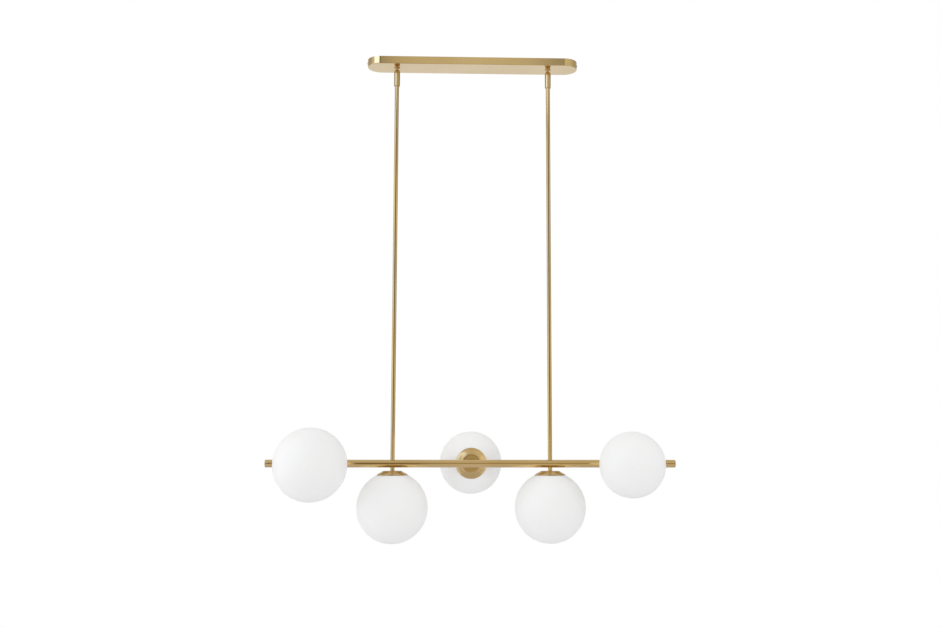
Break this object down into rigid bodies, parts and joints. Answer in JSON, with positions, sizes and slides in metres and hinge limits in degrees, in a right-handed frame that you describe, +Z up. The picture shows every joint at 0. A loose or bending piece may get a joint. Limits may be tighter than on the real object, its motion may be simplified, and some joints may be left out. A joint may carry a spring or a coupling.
{
  "type": "linear chandelier",
  "caption": "Brass linear pendant light: long ceiling canopy, sectional rods on ball swivels, tubular bar and opal glass globes set in front of, below and behind the bar.",
  "frame": {"origin": "centre of the ceiling plane, between the two junction box slots of the mounting plate", "axes": "+X along the bar to the right seen from the front, +Y away from the front towards the wall side, +Z up into the ceiling; the light hangs down along -Z"},
  "size_m": [0.95, 0.3478, 1.147],
  "materials": {
    "satin_brass": "satin, fine lengthwise brushing",
    "canopy_brass": "satin, brushed along the length",
    "plated_steel": "zinc plated, satin",
    "opal_glass": "opal white, satin",
    "frosted_bulb": "frosted",
    "holder_ceramic": "white, unglazed",
    "silicone": "translucent white, matt",
    "wire_sheath": "smooth sheath",
    "terminal_plastic": "moulded, matt"
  },
  "bodies": {
    "ceiling_mount": {"canopy": "canopy_brass", "mounting_plate": "plated_steel", "canopy_screws": "satin_brass", "ground_screw": "plated_steel", "terminal_block": "terminal_plastic", "canopy_wires": "wire_sheath", "ball_stem_left": "satin_brass", "ball_stem_right": "satin_brass", "stem_washers": "plated_steel", "stem_nuts": "plated_steel"},
    "suspension": {"swivel_socket_left": "satin_brass", "swivel_socket_right": "satin_brass", "swivel_bushes": "satin_brass", "rod_left_upper": "satin_brass", "rod_left_middle": "satin_brass", "rod_left_lower": "satin_brass", "rod_right_upper": "satin_brass", "rod_right_middle": "satin_brass", "rod_right_lower": "satin_brass", "rod_couplers": "satin_brass", "rod_feet": "satin_brass", "rod_wire": "wire_sheath", "bar": "satin_brass", "bar_end_caps": "satin_brass", "joint_blocks": "satin_brass", "bar_wires": "wire_sheath", "arm_nipples": "plated_steel", "cup_nuts": "plated_steel", "screw_bosses": "plated_steel", "gaskets": "silicone", "stem_front_left": "satin_brass", "stem_down_left": "satin_brass", "stem_back_centre": "satin_brass", "stem_down_right": "satin_brass", "stem_front_right": "satin_brass", "cup_front_left": "satin_brass", "cup_down_left": "satin_brass", "cup_back_centre": "satin_brass", "cup_down_right": "satin_brass", "cup_front_right": "satin_brass", "lampholder_front_left": "holder_ceramic", "lampholder_down_left": "holder_ceramic", "lampholder_back_centre": "holder_ceramic", "lampholder_down_right": "holder_ceramic", "lampholder_front_right": "holder_ceramic"},
    "bulb_front_left": {"bulb_front_left": "frosted_bulb"},
    "bulb_down_left": {"bulb_down_left": "frosted_bulb"},
    "bulb_back_centre": {"bulb_back_centre": "frosted_bulb"},
    "bulb_down_right": {"bulb_down_right": "frosted_bulb"},
    "bulb_front_right": {"bulb_front_right": "frosted_bulb"},
    "globe_front_left": {"globe_front_left": "opal_glass", "globe_ring_front_left": "plated_steel"},
    "globe_down_left": {"globe_down_left": "opal_glass", "globe_ring_down_left": "plated_steel"},
    "globe_back_centre": {"globe_back_centre": "opal_glass", "globe_ring_back_centre": "plated_steel"},
    "globe_down_right": {"globe_down_right": "opal_glass", "globe_ring_down_right": "plated_steel"},
    "globe_front_right": {"globe_front_right": "opal_glass", "globe_ring_front_right": "plated_steel"}
  },
  "joints": [
    {"name": "swing", "type": "hinge", "parent": "ceiling_mount", "child": "suspension", "pos_m": [0, 0, -0.0287], "axis": [1, 0, 0], "range_deg": [-60, 20]},
    {"name": "bulb_front_left_pull", "type": "slide", "parent": "suspension", "child": "bulb_front_left", "axis": [0, -1, 0], "range_m": [0, 0.014]},
    {"name": "bulb_down_left_pull", "type": "slide", "parent": "suspension", "child": "bulb_down_left", "axis": [0, 0, -1], "range_m": [0, 0.014]},
    {"name": "bulb_back_centre_pull", "type": "slide", "parent": "suspension", "child": "bulb_back_centre", "axis": [0, 1, 0], "range_m": [0, 0.014]},
    {"name": "bulb_down_right_pull", "type": "slide", "parent": "suspension", "child": "bulb_down_right", "axis": [0, 0, -1], "range_m": [0, 0.014]},
    {"name": "bulb_front_right_pull", "type": "slide", "parent": "suspension", "child": "bulb_front_right", "axis": [0, -1, 0], "range_m": [0, 0.014]},
    {"name": "globe_front_left_unscrew", "type": "slide", "parent": "suspension", "child": "globe_front_left", "axis": [0, -1, 0], "range_m": [0, 0.075]},
    {"name": "globe_down_left_unscrew", "type": "slide", "parent": "suspension", "child": "globe_down_left", "axis": [0, 0, -1], "range_m": [0, 0.075]},
    {"name": "globe_back_centre_unscrew", "type": "slide", "parent": "suspension", "child": "globe_back_centre", "axis": [0, 1, 0], "range_m": [0, 0.075]},
    {"name": "globe_down_right_unscrew", "type": "slide", "parent": "suspension", "child": "globe_down_right", "axis": [0, 0, -1], "range_m": [0, 0.075]},
    {"name": "globe_front_right_unscrew", "type": "slide", "parent": "suspension", "child": "globe_front_right", "axis": [0, -1, 0], "range_m": [0, 0.075]}
  ]
}
